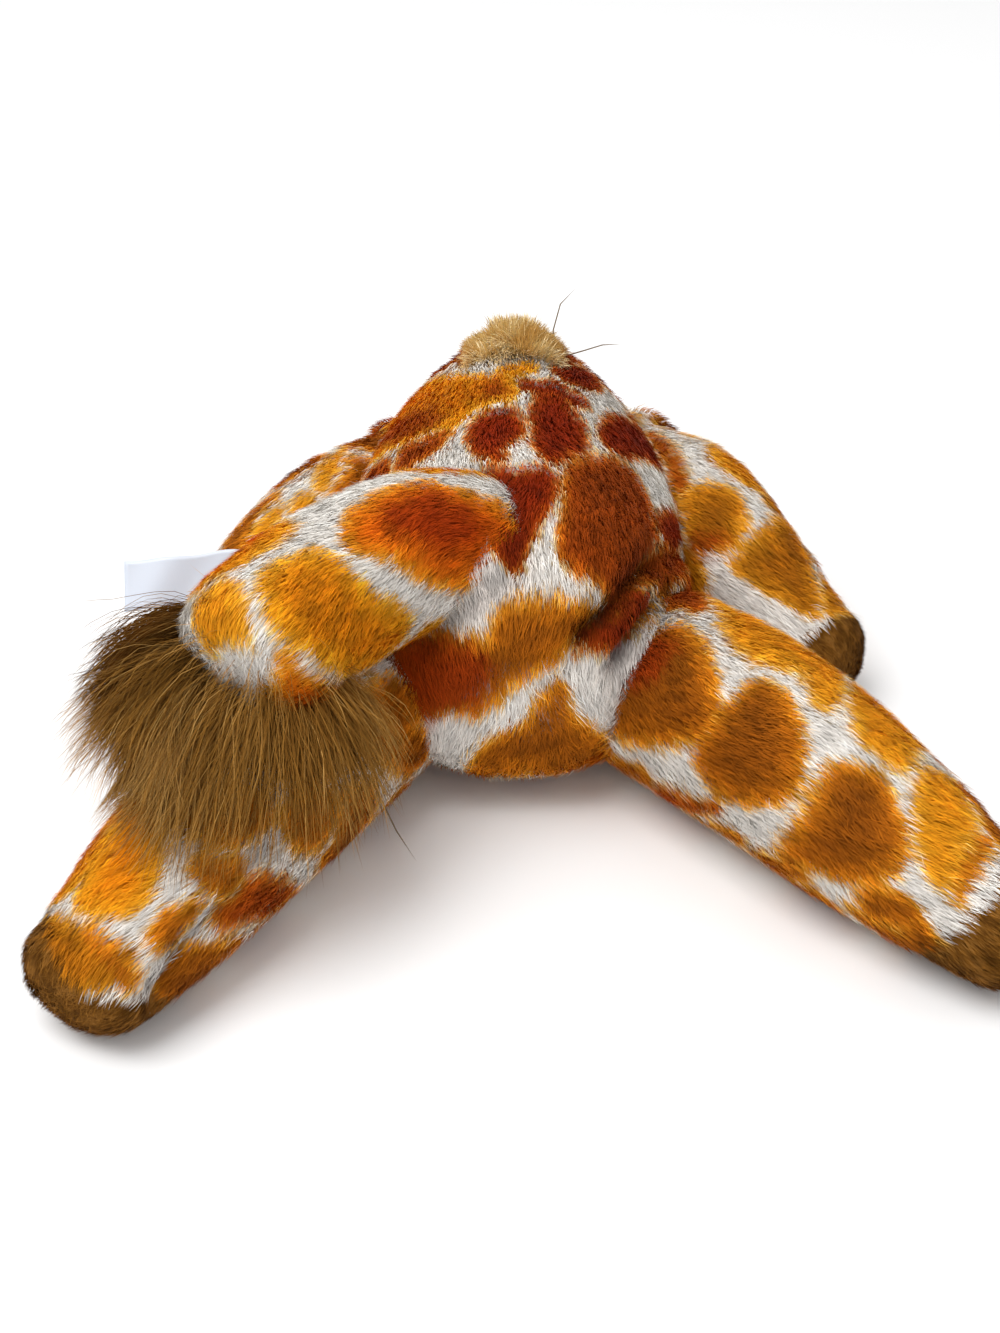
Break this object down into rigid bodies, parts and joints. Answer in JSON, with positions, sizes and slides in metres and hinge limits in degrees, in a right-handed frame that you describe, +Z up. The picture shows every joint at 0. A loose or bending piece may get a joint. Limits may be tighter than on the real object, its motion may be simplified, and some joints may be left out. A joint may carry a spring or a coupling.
{
  "type": "plush giraffe",
  "caption": "Stuffed plush giraffe lying on its belly, with patterned fur skins over stuffing, splayed legs and a bushy tail that lift and swing.",
  "frame": {"origin": "on the floor under the middle of the belly, where the torso is cut flat", "axes": "+Z up, +Y towards the head, +X to the giraffe's right side"},
  "size_m": [0.356, 0.4803, 0.1425],
  "materials": {
    "patterned_fur": "long-pile plush in orange and brown patches between white lines",
    "short_pile": "short brown plush",
    "long_pile": "long tan and brown pile",
    "stuffing": "loose white polyester fibre",
    "pellet_pouch": "thin cloth pouch filled with plastic pellets",
    "satin_label": "bare white satin ribbon",
    "eye_plastic": "glossy black",
    "washer_plastic": "plain white"
  },
  "bodies": {
    "torso": {"torso_skin": "patterned_fur", "torso_fill": "stuffing", "belly_pouch": "pellet_pouch", "withers_tuft": "long_pile", "care_label": "satin_label"},
    "rear_leg_left": {"rear_leg_left_skin": "patterned_fur", "rear_leg_left_fill": "stuffing", "rear_leg_left_hoof": "short_pile", "rear_leg_left_pouch": "pellet_pouch"},
    "rear_leg_right": {"rear_leg_right_skin": "patterned_fur", "rear_leg_right_fill": "stuffing", "rear_leg_right_hoof": "short_pile", "rear_leg_right_pouch": "pellet_pouch"},
    "front_leg_left": {"front_leg_left_skin": "patterned_fur", "front_leg_left_fill": "stuffing", "front_leg_left_hoof": "short_pile", "front_leg_left_pouch": "pellet_pouch"},
    "front_leg_right": {"front_leg_right_skin": "patterned_fur", "front_leg_right_fill": "stuffing", "front_leg_right_hoof": "short_pile", "front_leg_right_pouch": "pellet_pouch"},
    "tail": {"tail_skin": "patterned_fur", "tail_fill": "stuffing", "tail_tuft": "long_pile"},
    "neck": {"neck_skin": "patterned_fur", "neck_fill": "stuffing", "mane_strip": "long_pile"},
    "head": {"head_skin": "patterned_fur", "head_fill": "stuffing", "muzzle": "short_pile", "ear_left": "patterned_fur", "ear_right": "patterned_fur", "horn_left": "short_pile", "horn_right": "short_pile", "eye_left": "eye_plastic", "eye_right": "eye_plastic", "washer_left": "washer_plastic", "washer_right": "washer_plastic"}
  },
  "joints": [
    {"name": "rear_left_swing", "type": "hinge", "parent": "torso", "child": "rear_leg_left", "pos_m": [-0.048, -0.06, 0.04], "axis": [0, 0, -1], "range_deg": [-10, 25]},
    {"name": "rear_right_swing", "type": "hinge", "parent": "torso", "child": "rear_leg_right", "pos_m": [0.048, -0.06, 0.04], "axis": [0, 0, 1], "range_deg": [-10, 25]},
    {"name": "front_left_swing", "type": "hinge", "parent": "torso", "child": "front_leg_left", "pos_m": [-0.05, 0.082, 0.04], "axis": [0, 0, -1], "range_deg": [0, 45]},
    {"name": "front_right_swing", "type": "hinge", "parent": "torso", "child": "front_leg_right", "pos_m": [0.05, 0.082, 0.04], "axis": [0, 0, 1], "range_deg": [0, 45]},
    {"name": "tail_lift", "type": "hinge", "parent": "torso", "child": "tail", "pos_m": [-0.004, -0.05, 0.1105], "axis": [-0.7314, 0.682, 0], "range_deg": [0, 60]},
    {"name": "neck_lift", "type": "hinge", "parent": "torso", "child": "neck", "pos_m": [0, 0.098, 0.086], "axis": [1, 0, 0], "range_deg": [0, 50]},
    {"name": "head_turn", "type": "hinge", "parent": "neck", "child": "head", "pos_m": [0, 0.15705, 0.03986], "axis": [0, 0.6691, 0.7431], "range_deg": [-25, 25]}
  ]
}
